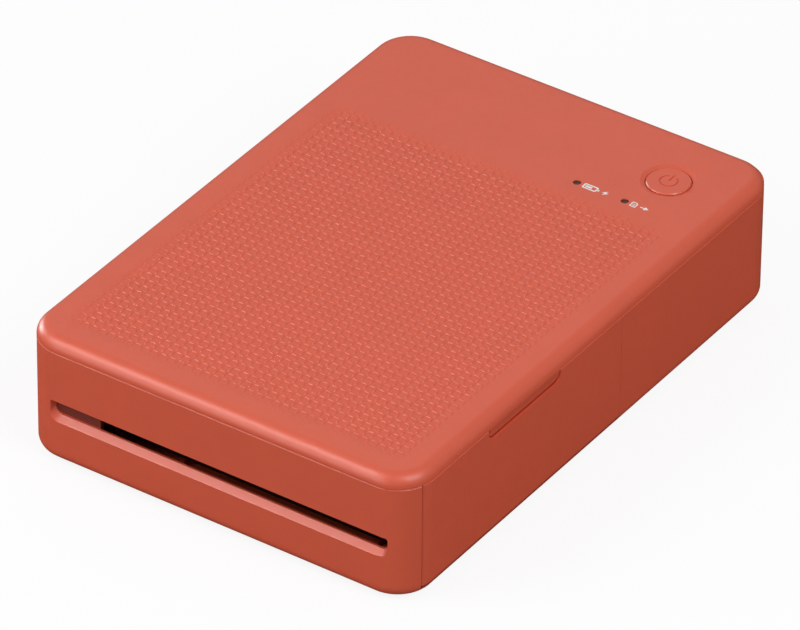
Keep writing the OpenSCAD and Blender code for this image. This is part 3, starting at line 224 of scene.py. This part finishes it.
def ribbon_look(name):
    """Dye film: yellow, magenta, cyan and clear panels that follow one another along y."""
    look = Look(name, Roughness=0.22, Coat_Weight=0.4, Coat_Roughness=0.1)
    parts = look.node("ShaderNodeSeparateXYZ")
    look.join(look.place, parts.inputs["Vector"])
    along = look.node("ShaderNodeMath")
    along.operation = "MULTIPLY_ADD"
    along.inputs[1].default_value = 1 / (PANEL_SET * MM)
    along.inputs[2].default_value = PANEL_SHIFT
    look.join(parts.outputs["Y"], along.inputs[0])
    wrap = look.node("ShaderNodeMath")
    wrap.operation = "FRACT"
    look.join(along.outputs["Value"], wrap.inputs[0])
    ramp = look.node("ShaderNodeValToRGB")
    ramp.color_ramp.interpolation = "CONSTANT"
    stops = [(0.0, (0.78, 0.62, 0.03)), (0.30, (0.55, 0.03, 0.17)), (0.60, (0.02, 0.22, 0.50)),
             (0.88, (0.30, 0.31, 0.33))]
    ramp.color_ramp.elements[1].position = stops[1][0]
    for spot, _ in stops[2:]:
        ramp.color_ramp.elements.new(spot)
    for element, (spot, colour) in zip(ramp.color_ramp.elements, stops):
        element.position, element.color = spot, (*colour, 1)
    look.join(wrap.outputs["Value"], ramp.inputs["Fac"])
    look.colour(ramp.outputs["Color"])
    look.shine(2.0, 0.16, 0.27)
    return look.bump(look.noise(2.4, 1.0), 0.02)


def cable_look(name):
    """Flat cable: white insulation with its conductors showing as fine lines."""
    look = Look(name, Roughness=0.4)
    wave = look.node("ShaderNodeTexWave", Scale=160.0, Distortion=0.0)
    wave.wave_type, wave.bands_direction = "BANDS", "X"
    look.join(look.place, wave.inputs["Vector"])
    ramp = look.two_tone(wave.outputs["Fac"], (0.42, 0.42, 0.43), (0.72, 0.72, 0.71), 0.35, 0.6)
    look.colour(ramp.outputs["Color"])
    look.shine(1.5, 0.34, 0.46)
    return look.bump(wave.outputs["Fac"], 0.03)


def print_look(name):
    """White pad-printed ink."""
    look = Look(name, Roughness=0.5)
    look.mottle(0.5, (0.80, 0.79, 0.78), (0.90, 0.89, 0.88))
    look.shine(0.4, 0.42, 0.58)
    return look.bump(look.noise(0.12, 1.0), 0.003)


def lens_look(name, dark, light):
    """Clear or smoked light guide, as its face looks with the light off."""
    look = Look(name, Roughness=0.3)
    look.mottle(1.5, dark, light)
    look.shine(0.6, 0.24, 0.36)
    return look.bump(look.noise(0.5, 1.0), 0.004)


LOOKS = {
    "casing_plastic": casing_look("casing_plastic"),
    "rubber": rubber_look("rubber"),
    "steel": metal("steel", (0.56, 0.57, 0.59), 0.30),
    # Painted shade: this dark red is given to the piece that closes the slot's left pocket, to stand
    # in for the shadow that falls in that recess
    "dark_red_plastic": plain_plastic("dark_red_plastic", (0.190, 0.022, 0.010), 0.65, 0.4, 0.01),
    "dark_plastic": plain_plastic("dark_plastic", (0.022, 0.022, 0.024), 0.5, 0.35, 0.02),
    "cassette_plastic": plain_plastic("cassette_plastic", (0.016, 0.016, 0.017), 0.5, 0.4, 0.02),
    "gear_plastic": plain_plastic("gear_plastic", (0.72, 0.70, 0.65), 0.38, 0.5, 0.008),
    "spool_plastic": plain_plastic("spool_plastic", (0.50, 0.51, 0.53), 0.4, 0.5, 0.01),
    "board": board_look("board"),
    "brass": metal("brass", (0.66, 0.46, 0.19), 0.28, (3000, 3000, 9000)),
    "aluminium": metal("aluminium", (0.74, 0.75, 0.76), 0.34, (500, 9000, 9000)),
    "ceramic": plain_plastic("ceramic", (0.55, 0.50, 0.44), 0.3, 0.3, 0.008),
    "led_lens": lens_look("led_lens", (0.72, 0.73, 0.70), (0.86, 0.87, 0.84)),
    "smoked_lens": lens_look("smoked_lens", (0.035, 0.010, 0.005), (0.060, 0.018, 0.010)),
    "cable": cable_look("cable"),
    "ribbon": ribbon_look("ribbon"),
    "print": print_look("print"),
}


def dress_nodes():
    """Each CAD node shows the look of its own slot."""
    for o in nodes.values():
        for s in o.material_slots:
            s.material = LOOKS[s.material.name.split(".")[0]].mat


# ---------------------------------------------------------------- flat faces made again

SAME_HEIGHT = 1e-4      # heights this near to each other are one plane
WELDS_PER_MM = 2e4      # points that round to the same place on this grid become one
LEVEL = 1e-6            # a rib's height below which a point counts as lying on the floor
UP = np.array([0.0, 0.0, 1.0])


def read_mesh(name):
    """A CAD node's triangles as arrays: positions in mm, corners, and normals at the corners."""
    mesh = nodes[name].data
    co = np.empty(len(mesh.vertices) * 3)
    mesh.vertices.foreach_get("co", co)
    mesh.calc_loop_triangles()
    corner = np.empty(len(mesh.loop_triangles) * 3, int)
    mesh.loop_triangles.foreach_get("loops", corner)
    vertex_of = np.empty(len(mesh.loops), int)
    mesh.loops.foreach_get("vertex_index", vertex_of)
    normal = np.empty(len(mesh.loops) * 3)
    mesh.corner_normals.foreach_get("vector", normal)
    tris = co.reshape(-1, 3)[vertex_of[corner]] / MM
    normals = normal.reshape(-1, 3)[corner]
    return tris.reshape(-1, 3, 3), normals.reshape(-1, 3, 3)


def highest(tris):
    return tris[:, :, 2].max()


def split_flat(tris, normals, z):
    """Takes the upward faces at height z out of a mesh.

    Gives the triangles and normals that are left, and the flat's edges as loops, the largest first.
    """
    flat = (np.abs(tris[:, :, 2] - z) < SAME_HEIGHT).all(1) & (normals[:, :, 2].mean(1) > 0.9)
    keys = np.round(tris[flat], 4) + 0.0
    edges = {}
    for tri in keys:
        for i in range(3):
            a, b = tuple(tri[i]), tuple(tri[(i + 1) % 3])
            if edges.pop((b, a), None) is None:
                edges[(a, b)] = True
    onward = dict(edges.keys())
    loops = []
    while onward:
        start, here = next(iter(onward.items()))
        del onward[start]
        loop = [start]
        while here != start:
            loop.append(here)
            here = onward.pop(here)
        loops.append(np.array(loop)[:, :2])
    loops.sort(key=lambda loop: -abs(area_of(loop)))
    return tris[~flat], normals[~flat], loops


def area_of(loop):
    """The area inside a loop, negative where the loop runs clockwise."""
    x, y = loop[:, 0], loop[:, 1]
    return 0.5 * float(np.sum(x * np.roll(y, -1) - np.roll(x, -1) * y))


def inside(points, loop):
    """Which points lie inside a closed loop."""
    a, b = loop, np.roll(loop, -1, 0)
    px, py = points[:, :1], points[:, 1:2]
    with np.errstate(divide="ignore", invalid="ignore"):
        cross = a[:, 0] + (py - a[:, 1]) * (b[:, 0] - a[:, 0]) / (b[:, 1] - a[:, 1])
    hits = ((a[:, 1] > py) != (b[:, 1] > py)) & (px < cross)
    return hits.sum(1) % 2 == 1


def triangulate(loops, lines=()):
    """Triangles of the plane that follow every edge of the loops and open lines."""
    points, edges = [], []
    for closed, group in ((True, loops), (False, lines)):
        for loop in group:
            n, first = len(loop), len(points)
            points += [Vector(p) for p in loop]
            edges += [(first + i, first + (i + 1) % n) for i in range(n if closed else n - 1)]
    out, _, faces, *_ = delaunay_2d_cdt(points, edges, [], 0, 1e-6)
    out = np.array([tuple(p) for p in out])
    faces = np.array(faces)
    p = out[faces]
    turn = np.cross(p[:, 1] - p[:, 0], p[:, 2] - p[:, 0])
    faces[turn < 0] = faces[turn < 0][:, ::-1]
    return out, faces[np.abs(turn) > 1e-9]


def in_region(out, faces, holes, outer=None):
    """The triangles inside the outer loop and outside each hole."""
    middle = out[faces].mean(1)
    keep = inside(middle, outer) if outer is not None else np.ones(len(faces), bool)
    for hole in holes:
        keep &= ~inside(middle, hole)
    return faces[keep]


def raise_flat(points, z):
    """Points of the plane, put at height z."""
    return np.concatenate([points, np.full((*points.shape[:-1], 1), z)], -1)


class Skin:
    """Collects triangles with corner normals and a look each, and makes one mesh of them."""

    def __init__(self):
        self.tris, self.normals, self.index = [], [], []

    def add(self, tris, normals, look=0):
        normals = np.broadcast_to(normals, tris.shape)
        self.tris.append(tris)
        self.normals.append(normals)
        self.index.append(np.full(len(tris), look))

    def build(self, name, node, looks):
        """Makes the mesh as one closed skin, which replaces the node and rides on its body."""
        tris, normals = np.concatenate(self.tris), np.concatenate(self.normals)
        keys = np.round(tris.reshape(-1, 3) * WELDS_PER_MM).astype(np.int64)
        _, first, where = np.unique(keys, axis=0, return_index=True, return_inverse=True)
        co, faces = tris.reshape(-1, 3)[first] * MM, where.reshape(-1, 3)
        a, b, c = faces.T
        good = (a != b) & (b != c) & (a != c)
        faces, normals = faces[good], normals[good]
        mesh = bpy.data.meshes.new(name)
        mesh.vertices.add(len(co))
        mesh.vertices.foreach_set("co", co.ravel())
        mesh.loops.add(faces.size)
        mesh.loops.foreach_set("vertex_index", faces.ravel())
        mesh.polygons.add(len(faces))
        mesh.polygons.foreach_set("loop_start", np.arange(0, faces.size, 3))
        mesh.polygons.foreach_set("material_index", np.concatenate(self.index)[good])
        for look in looks:
            mesh.materials.append(LOOKS[look].mat)
        mesh.update(calc_edges=True)
        mesh.validate()
        mesh.polygons.foreach_set("use_smooth", np.ones(len(mesh.polygons), bool))
        mesh.normals_split_custom_set(normals.reshape(-1, 3).tolist())
        piece = bpy.data.objects.new(name, mesh)
        bpy.context.scene.collection.objects.link(piece)
        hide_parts(node)
        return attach(piece, nodes[node]["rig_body"])


def offset_loop(loop, by):
    """A loop moved inwards by that much, for small moves on smooth or square outlines."""
    step = np.roll(loop, -1, 0) - loop
    normal = np.stack([-step[:, 1], step[:, 0]], 1) / np.linalg.norm(step, axis=1)[:, None]
    normal *= np.sign(area_of(loop))
    before = np.roll(normal, 1, 0)
    mitre = normal + before
    mitre /= (mitre * normal).sum(1)[:, None]
    return loop + mitre * by


def engrave(skin, loop, z, depth, slope):
    """A sunk shape: walls that lean in by slope, and a floor at that depth."""
    low = offset_loop(loop, slope)
    a, b = raise_flat(loop, z), raise_flat(np.roll(loop, -1, 0), z)
    c, d = raise_flat(np.roll(low, -1, 0), z - depth), raise_flat(low, z - depth)
    for part in (np.stack([a, d, c], 1), np.stack([a, c, b], 1)):
        n = np.cross(part[:, 1] - part[:, 0], part[:, 2] - part[:, 0])
        n /= np.linalg.norm(n, axis=1)[:, None]
        downward = n[:, 2] < 0
        part[downward] = part[downward][:, ::-1]
        n[downward] *= -1
        skin.add(part, np.repeat(n[:, None], 3, 1))
    out, faces = triangulate([low])
    skin.add(raise_flat(out[in_region(out, faces, [], low)], z - depth), UP)


# ---------------------------------------------------------------- top cover

# The relief: cells of this pitch, from this far inside the flat's front left corner
PITCH = np.array([2.285, 2.295])
FIELD_CELLS = np.array([40, 46])
FIELD_INSET = np.array([2.71, 2.68])
FADE = 5.0                  # width of the border over which the relief fades out
RIB_HALF, RIB_RISE = 0.33, 0.27         # half the width of a rib's foot, and its height
# Ends of the two ribs in a cell, and the cell's own low corner, which clears both ribs
RIBS = [((0.274, 2.157), (1.14, 2.157)), ((1.782, 0.69), (1.782, 1.65))]
CELL_CORNER = np.array([-0.09, 0.28])

# The white marks: a battery with a bolt and a sheet with an arrow, beside the light holes
HOLE_RIM = 3.0              # a loop narrower than this is a light hole
MARK_HIGH, MARK_BELOW = 1.85, 0.95      # height of a mark, and its reach below the hole's middle
BATTERY_GAP, SHEET_GAP = 0.75, 0.70     # from a hole's right edge to its mark
LINE = 0.38                 # width of the battery's outline


def segment_distance(p, a, b):
    """Distance from points to a segment, and the direction away from it."""
    ab = np.subtract(b, a)
    t = np.clip(((p - a) @ ab) / (ab @ ab), 0, 1)
    away = p - (a + t[:, None] * ab)
    d = np.linalg.norm(away, axis=1)
    return d, away / np.maximum(d, 1e-9)[:, None]


def rib_profile(p):
    """Height from 0 to 1 of the ribs at points of one cell, and its slope per mm."""
    found = [segment_distance(p, *rib) for rib in RIBS]
    d = np.stack([f[0] for f in found])
    which = d.argmin(0)
    away = np.stack([f[1] for f in found])[which, np.arange(len(p))]
    t = np.clip(d.min(0) / RIB_HALF, 0, 1) * math.pi
    high = 0.5 + 0.5 * np.cos(t)
    slope = -0.5 * np.sin(t) * math.pi / RIB_HALF
    return high, slope[:, None] * away


def smooth(t):
    """A soft step from 0 to 1, and its slope."""
    t = np.clip(t, 0, 1)
    return t * t * (3 - 2 * t), 6 * t * (1 - t)


def fade_in(p, low, high):
    """From 0 at the field's border to 1 inside it, and its slope per mm."""
    parts = [(p[:, 0] - low[0], (1, 0)), (high[0] - p[:, 0], (-1, 0)),
             (p[:, 1] - low[1], (0, 1)), (high[1] - p[:, 1], (0, -1))]
    value, slope = np.ones(len(p)), np.zeros((len(p), 2))
    for distance, direction in parts:
        s, ds = smooth(distance / FADE)
        slope = slope * s[:, None] + (value * ds / FADE)[:, None] * np.array(direction, float)
        value = value * s
    return value, slope


def textured_field(skin, low, z):
    """The field of short crossed ribs, whose crests stay level with the plain surface at z.

    Gives the field's edge as a loop, with a point at each cell's corner.
    """
    high = low + PITCH * FIELD_CELLS
    square = CELL_CORNER + np.array([(0, 0), (1, 0), (1, 1), (0, 1)]) * PITCH
    rings = [capsule(*rib, half, 4) for rib in RIBS for half in (RIB_HALF, 0.5 * RIB_HALF)]
    out, faces = triangulate([square, *rings], RIBS)
    profile, slope = rib_profile(out)
    slope[np.abs(profile) < LEVEL] = 0
    across, along = FIELD_CELLS
    grid = np.stack(np.meshgrid(np.arange(across), np.arange(along)), -1).reshape(-1, 2)
    at = (low - CELL_CORNER + grid * PITCH)[:, None] + out[None]
    flat = at.reshape(-1, 2)
    fade, fade_slope = fade_in(flat, low, high)
    sunk = np.tile(profile, len(grid)) - 1
    height = z + RIB_RISE * fade * sunk
    tilt = np.tile(slope, (len(grid), 1))
    rise = RIB_RISE * (fade[:, None] * tilt + sunk[:, None] * fade_slope)
    normal = np.column_stack([-rise, np.ones(len(rise))])
    normal /= np.linalg.norm(normal, axis=1)[:, None]
    index = (faces[None] + (np.arange(len(grid)) * len(out))[:, None, None]).reshape(-1, 3)
    skin.add(np.column_stack([flat, height])[index], normal[index])
    xs = low[0] + PITCH[0] * np.arange(across + 1)
    ys = low[1] + PITCH[1] * np.arange(along + 1)
    bottom, right = [(x, low[1]) for x in xs], [(high[0], y) for y in ys[1:]]
    top, left = [(x, high[1]) for x in xs[-2::-1]], [(low[0], y) for y in ys[-2:0:-1]]
    return np.array(bottom + right + top + left)


def capsule(a, b, half, steps=5):
    """The outline of a stroke with round ends."""
    a, b = np.array(a, float), np.array(b, float)
    along = (b - a) / np.linalg.norm(b - a)
    turn = math.atan2(along[1], along[0])
    points = []
    for centre, start in ((b, -0.5 * math.pi), (a, 0.5 * math.pi)):
        for i in range(steps + 1):
            angle = turn + start + math.pi * i / steps
            points.append(centre + half * np.array([math.cos(angle), math.sin(angle)]))
    return np.array(points)


def round_box(x0, y0, x1, y1, r, steps=4):
    """The outline of a rectangle with round corners."""
    points = []
    centres = ((x1 - r, y1 - r, 0), (x0 + r, y1 - r, 90), (x0 + r, y0 + r, 180), (x1 - r, y0 + r, 270))
    for cx, cy, start in centres:
        for i in range(steps + 1):
            angle = math.radians(start + 90 * i / steps)
            points.append((cx + r * math.cos(angle), cy + r * math.sin(angle)))
    return np.array(points)


def battery_mark(x, y0, y1):
    """A battery with its charge and a bolt, from x to the right: (outline, its holes)."""
    mid = 0.5 * (y0 + y1)
    case = round_box(x, y0, x + 3.7, y1, 0.35)
    inner = round_box(x + LINE, y0 + LINE, x + 3.7 - LINE, y1 - LINE, 0.12)
    charge = round_box(x + 0.62, y0 + 0.60, x + 2.3, y1 - 0.60, 0.08)
    tip = round_box(x + 3.85, mid - 0.36, x + 4.2, mid + 0.36, 0.12)
    bolt = np.array([(x + 6.15, y1), (x + 4.95, mid - 0.12), (x + 5.65, mid - 0.12),
                     (x + 5.35, y0), (x + 6.60, mid + 0.18), (x + 5.90, mid + 0.18)])
    return [(case, [inner]), (charge, []), (tip, []), (bolt, [])]


def sheet_mark(x, y0, y1):
    """A sheet with a cut corner and two lines, and an arrow: (outline, its holes)."""
    mid = 0.5 * (y0 + y1)
    sheet = np.array([(x, y0), (x + 1.6, y0), (x + 1.6, y1 - 0.5), (x + 1.1, y1), (x, y1)])
    lines = [round_box(x + 0.5, y, x + 1.12, y + 0.22, 0.08) for y in (y0 + 0.50, y0 + 0.92)]
    arrow = np.array([(x + 2.4, mid - 0.15), (x + 3.5, mid - 0.15), (x + 3.5, mid - 0.68),
                      (x + 4.6, mid),
                      (x + 3.5, mid + 0.68), (x + 3.5, mid + 0.15), (x + 2.4, mid + 0.15)])
    return [(sheet, [offset_loop(sheet, 0.27)]), *[(line, []) for line in lines], (arrow, [])]


def pictograms(loops):
    """The marks of white ink, set level with the two light holes and to their right."""
    holes = [loop for loop in loops if np.ptp(loop[:, 0]) < HOLE_RIM]
    left, right = sorted(holes, key=lambda loop: loop[:, 0].min())
    y0 = 0.5 * (left[:, 1].min() + left[:, 1].max()) - MARK_BELOW
    y1 = y0 + MARK_HIGH
    return (battery_mark(left[:, 0].max() + BATTERY_GAP, y0, y1)
            + sheet_mark(right[:, 0].max() + SHEET_GAP, y0, y1))


def make_top_cover():
    """The top cover with its relief and its marks as one closed skin."""
    tris, normals = read_mesh("top_cover")
    top = highest(tris)
    tris, normals, loops = split_flat(tris, normals, top)
    skin = Skin()
    skin.add(tris, normals)
    field = textured_field(skin, loops[0].min(0) + FIELD_INSET, top)
    marks = pictograms(loops)
    outlines = [outline for outline, _ in marks]
    inked = [loop for outline, holes in marks for loop in (outline, *holes)]
    out, faces = triangulate([*loops, field, *inked])
    plain = in_region(out, faces, [*loops[1:], field, *outlines], loops[0])
    skin.add(raise_flat(out[plain], top), UP)
    for outline, holes in marks:
        ink = in_region(out, faces, holes, outline)
        skin.add(raise_flat(out[ink], top), UP, 1)
        for hole in holes:
            within = [other for other in outlines if inside(other[:1], hole)[0]]
            bare = in_region(out, faces, within, hole)
            skin.add(raise_flat(out[bare], top), UP)
    return skin.build("top_cover_skin", "top_cover", ["casing_plastic", "print"])


# ---------------------------------------------------------------- power button

# The power symbol: its ring's radius, half a stroke, and half the ring's gap in degrees
SYMBOL_R, SYMBOL_HALF, SYMBOL_GAP = 2.03, 0.19, 27.0
SYMBOL_BAR = (0.2, 2.55)        # from the ring's middle to the two ends of the bar
SYMBOL_DEEP, SYMBOL_SLOPE = 0.20, 0.05
SYMBOL_STEPS = 40


def power_symbol(centre):
    """A broken ring, open towards the back, and the bar in its gap."""
    there = range(SYMBOL_STEPS + 1)
    sweep = 360 - 2 * SYMBOL_GAP
    ring = []
    for r, steps in ((SYMBOL_R + SYMBOL_HALF, there), (SYMBOL_R - SYMBOL_HALF, reversed(there))):
        for i in steps:
            angle = math.radians(90 + SYMBOL_GAP + sweep * i / SYMBOL_STEPS)
            ring.append((r * math.cos(angle), r * math.sin(angle)))
    start, end = SYMBOL_BAR
    bar = capsule((0, start), (0, end), SYMBOL_HALF)
    return [np.array(ring) + centre, bar + centre]


def make_power_button():
    """The button's cap with its sunk power symbol as one closed skin."""
    tris, normals = read_mesh("power_button")
    top = highest(tris)
    tris, normals, loops = split_flat(tris, normals, top)
    skin = Skin()
    skin.add(tris, normals)
    symbol = power_symbol(0.5 * (loops[0].min(0) + loops[0].max(0)))
    out, faces = triangulate([*loops, *symbol])
    plain = in_region(out, faces, [*loops[1:], *symbol], loops[0])
    skin.add(raise_flat(out[plain], top), UP)
    for loop in symbol:
        engrave(skin, loop, top, SYMBOL_DEEP, SYMBOL_SLOPE)
    return skin.build("power_button_skin", "power_button", ["casing_plastic"])


# ---------------------------------------------------------------- floor and light

FLOOR_HALF = 6.0                # metres from the middle to an edge
FLOOR_DROP = 0.02               # below the feet, so that the two never lie in one plane
FLOOR_GREY, FLOOR_MIRRORED = 0.38, 0.04     # its grey as a source of light, and as seen in a shine
FLOOR_GLOW = 0.88               # share of plain white in what the camera sees; the rest is shadow
SKY = 0.37
WHITE = (1, 1, 1, 1)


def empty_tree(block):
    """Clears a material's or a world's nodes. Gives the two calls that fill them again."""
    block.use_nodes = True
    block.node_tree.nodes.clear()
    return block.node_tree.nodes.new, block.node_tree.links.new


def floor_look():
    """White to the camera with the shadow kept, and grey to everything else."""
    mat = bpy.data.materials.new("floor")
    add, link = empty_tree(mat)
    grey, pale = add("ShaderNodeBsdfDiffuse"), add("ShaderNodeBsdfDiffuse")
    pale.inputs["Color"].default_value = WHITE
    white = add("ShaderNodeEmission")
    white.inputs["Strength"].default_value = 1.0
    tone = add("ShaderNodeMapRange")
    tone.inputs["To Min"].default_value = FLOOR_GREY
    tone.inputs["To Max"].default_value = FLOOR_MIRRORED
    shown, seen = add("ShaderNodeMixShader"), add("ShaderNodeMixShader")
    shown.inputs["Fac"].default_value = FLOOR_GLOW
    path, out = add("ShaderNodeLightPath"), add("ShaderNodeOutputMaterial")
    link(pale.outputs[0], shown.inputs[1])
    link(white.outputs[0], shown.inputs[2])
    link(path.outputs["Is Glossy Ray"], tone.inputs["Value"])
    link(tone.outputs["Result"], grey.inputs["Color"])
    link(path.outputs["Is Camera Ray"], seen.inputs["Fac"])
    link(grey.outputs[0], seen.inputs[1])
    link(shown.outputs[0], seen.inputs[2])
    link(seen.outputs[0], out.inputs["Surface"])
    return mat


def stage():
    """A pale plain floor."""
    mesh = bpy.data.meshes.new("floor")
    r = FLOOR_HALF
    mesh.from_pydata([(-r, -r, 0), (r, -r, 0), (r, r, 0), (-r, r, 0)], [], [(0, 1, 2, 3)])
    mesh.materials.append(floor_look())
    floor = bpy.data.objects.new("floor", mesh)
    floor.location.z = -FLOOR_DROP * MM
    bpy.context.scene.collection.objects.link(floor)


def world():
    """White to the camera, and an even soft sky to everything else."""
    studio = bpy.data.worlds.new("studio")
    bpy.context.scene.world = studio
    add, link = empty_tree(studio)
    mix, path = add("ShaderNodeMixShader"), add("ShaderNodeLightPath")
    for strength, slot in ((SKY, 1), (1.0, 2)):
        sky = add("ShaderNodeBackground")
        sky.inputs["Color"].default_value = WHITE
        sky.inputs["Strength"].default_value = strength
        link(sky.outputs[0], mix.inputs[slot])
    link(path.outputs["Is Camera Ray"], mix.inputs["Fac"])
    link(mix.outputs[0], add("ShaderNodeOutputWorld").inputs["Surface"])


# Name, direction, distance in metres, size in metres, level to which it lights a white face
LAMPS = [
    ("key", (-0.46, -0.62, 0.64), 0.9, 0.40, 0.285),
    ("front", (-0.35, -0.92, 0.15), 1.2, 0.60, 0.185),
    ("right", (0.70, -0.15, 0.70), 1.2, 0.60, 0.405),
    ("left", (-0.97, 0.10, 0.17), 1.3, 0.36, 0.180),
    ("sheen", (-0.46, 0.64, 0.60), 1.8, 0.90, 0.030),
]
# The same values for cards that show only as a shine on the rounded rim
CARDS = [
    ("rim_card", (-0.46, -0.58, 0.67), 1.0, 0.75, 0.13),
    ("corner_card", (-0.97, 0.14, 0.15), 1.2, 0.45, 0.30),
]
AIM = Vector((0, 0, 15))        # what the lamps point at: the middle of the casing


def lamps(table, lights_matt):
    """Square soft lamps. Without lights_matt, they are seen in a shine and light nothing."""
    for name, direction, distance, size, level in table:
        data = bpy.data.lights.new(name, "AREA")
        data.shape, data.size = "SQUARE", size
        data.energy = level * (math.pi * distance) ** 2
        lamp = bpy.data.objects.new(name, data)
        lamp.location = AIM * MM + Vector(direction).normalized() * distance
        lamp.rotation_euler = Vector(direction).to_track_quat("Z", "Y").to_euler()
        lamp.visible_diffuse = lights_matt
        bpy.context.scene.collection.objects.link(lamp)


# ---------------------------------------------------------------- the scene

place_camera()
dress_nodes()
make_top_cover()
make_power_button()
stage()
world()
lamps(LAMPS, True)
lamps(CARDS, False)
bpy.context.scene.view_settings.view_transform = "Standard"
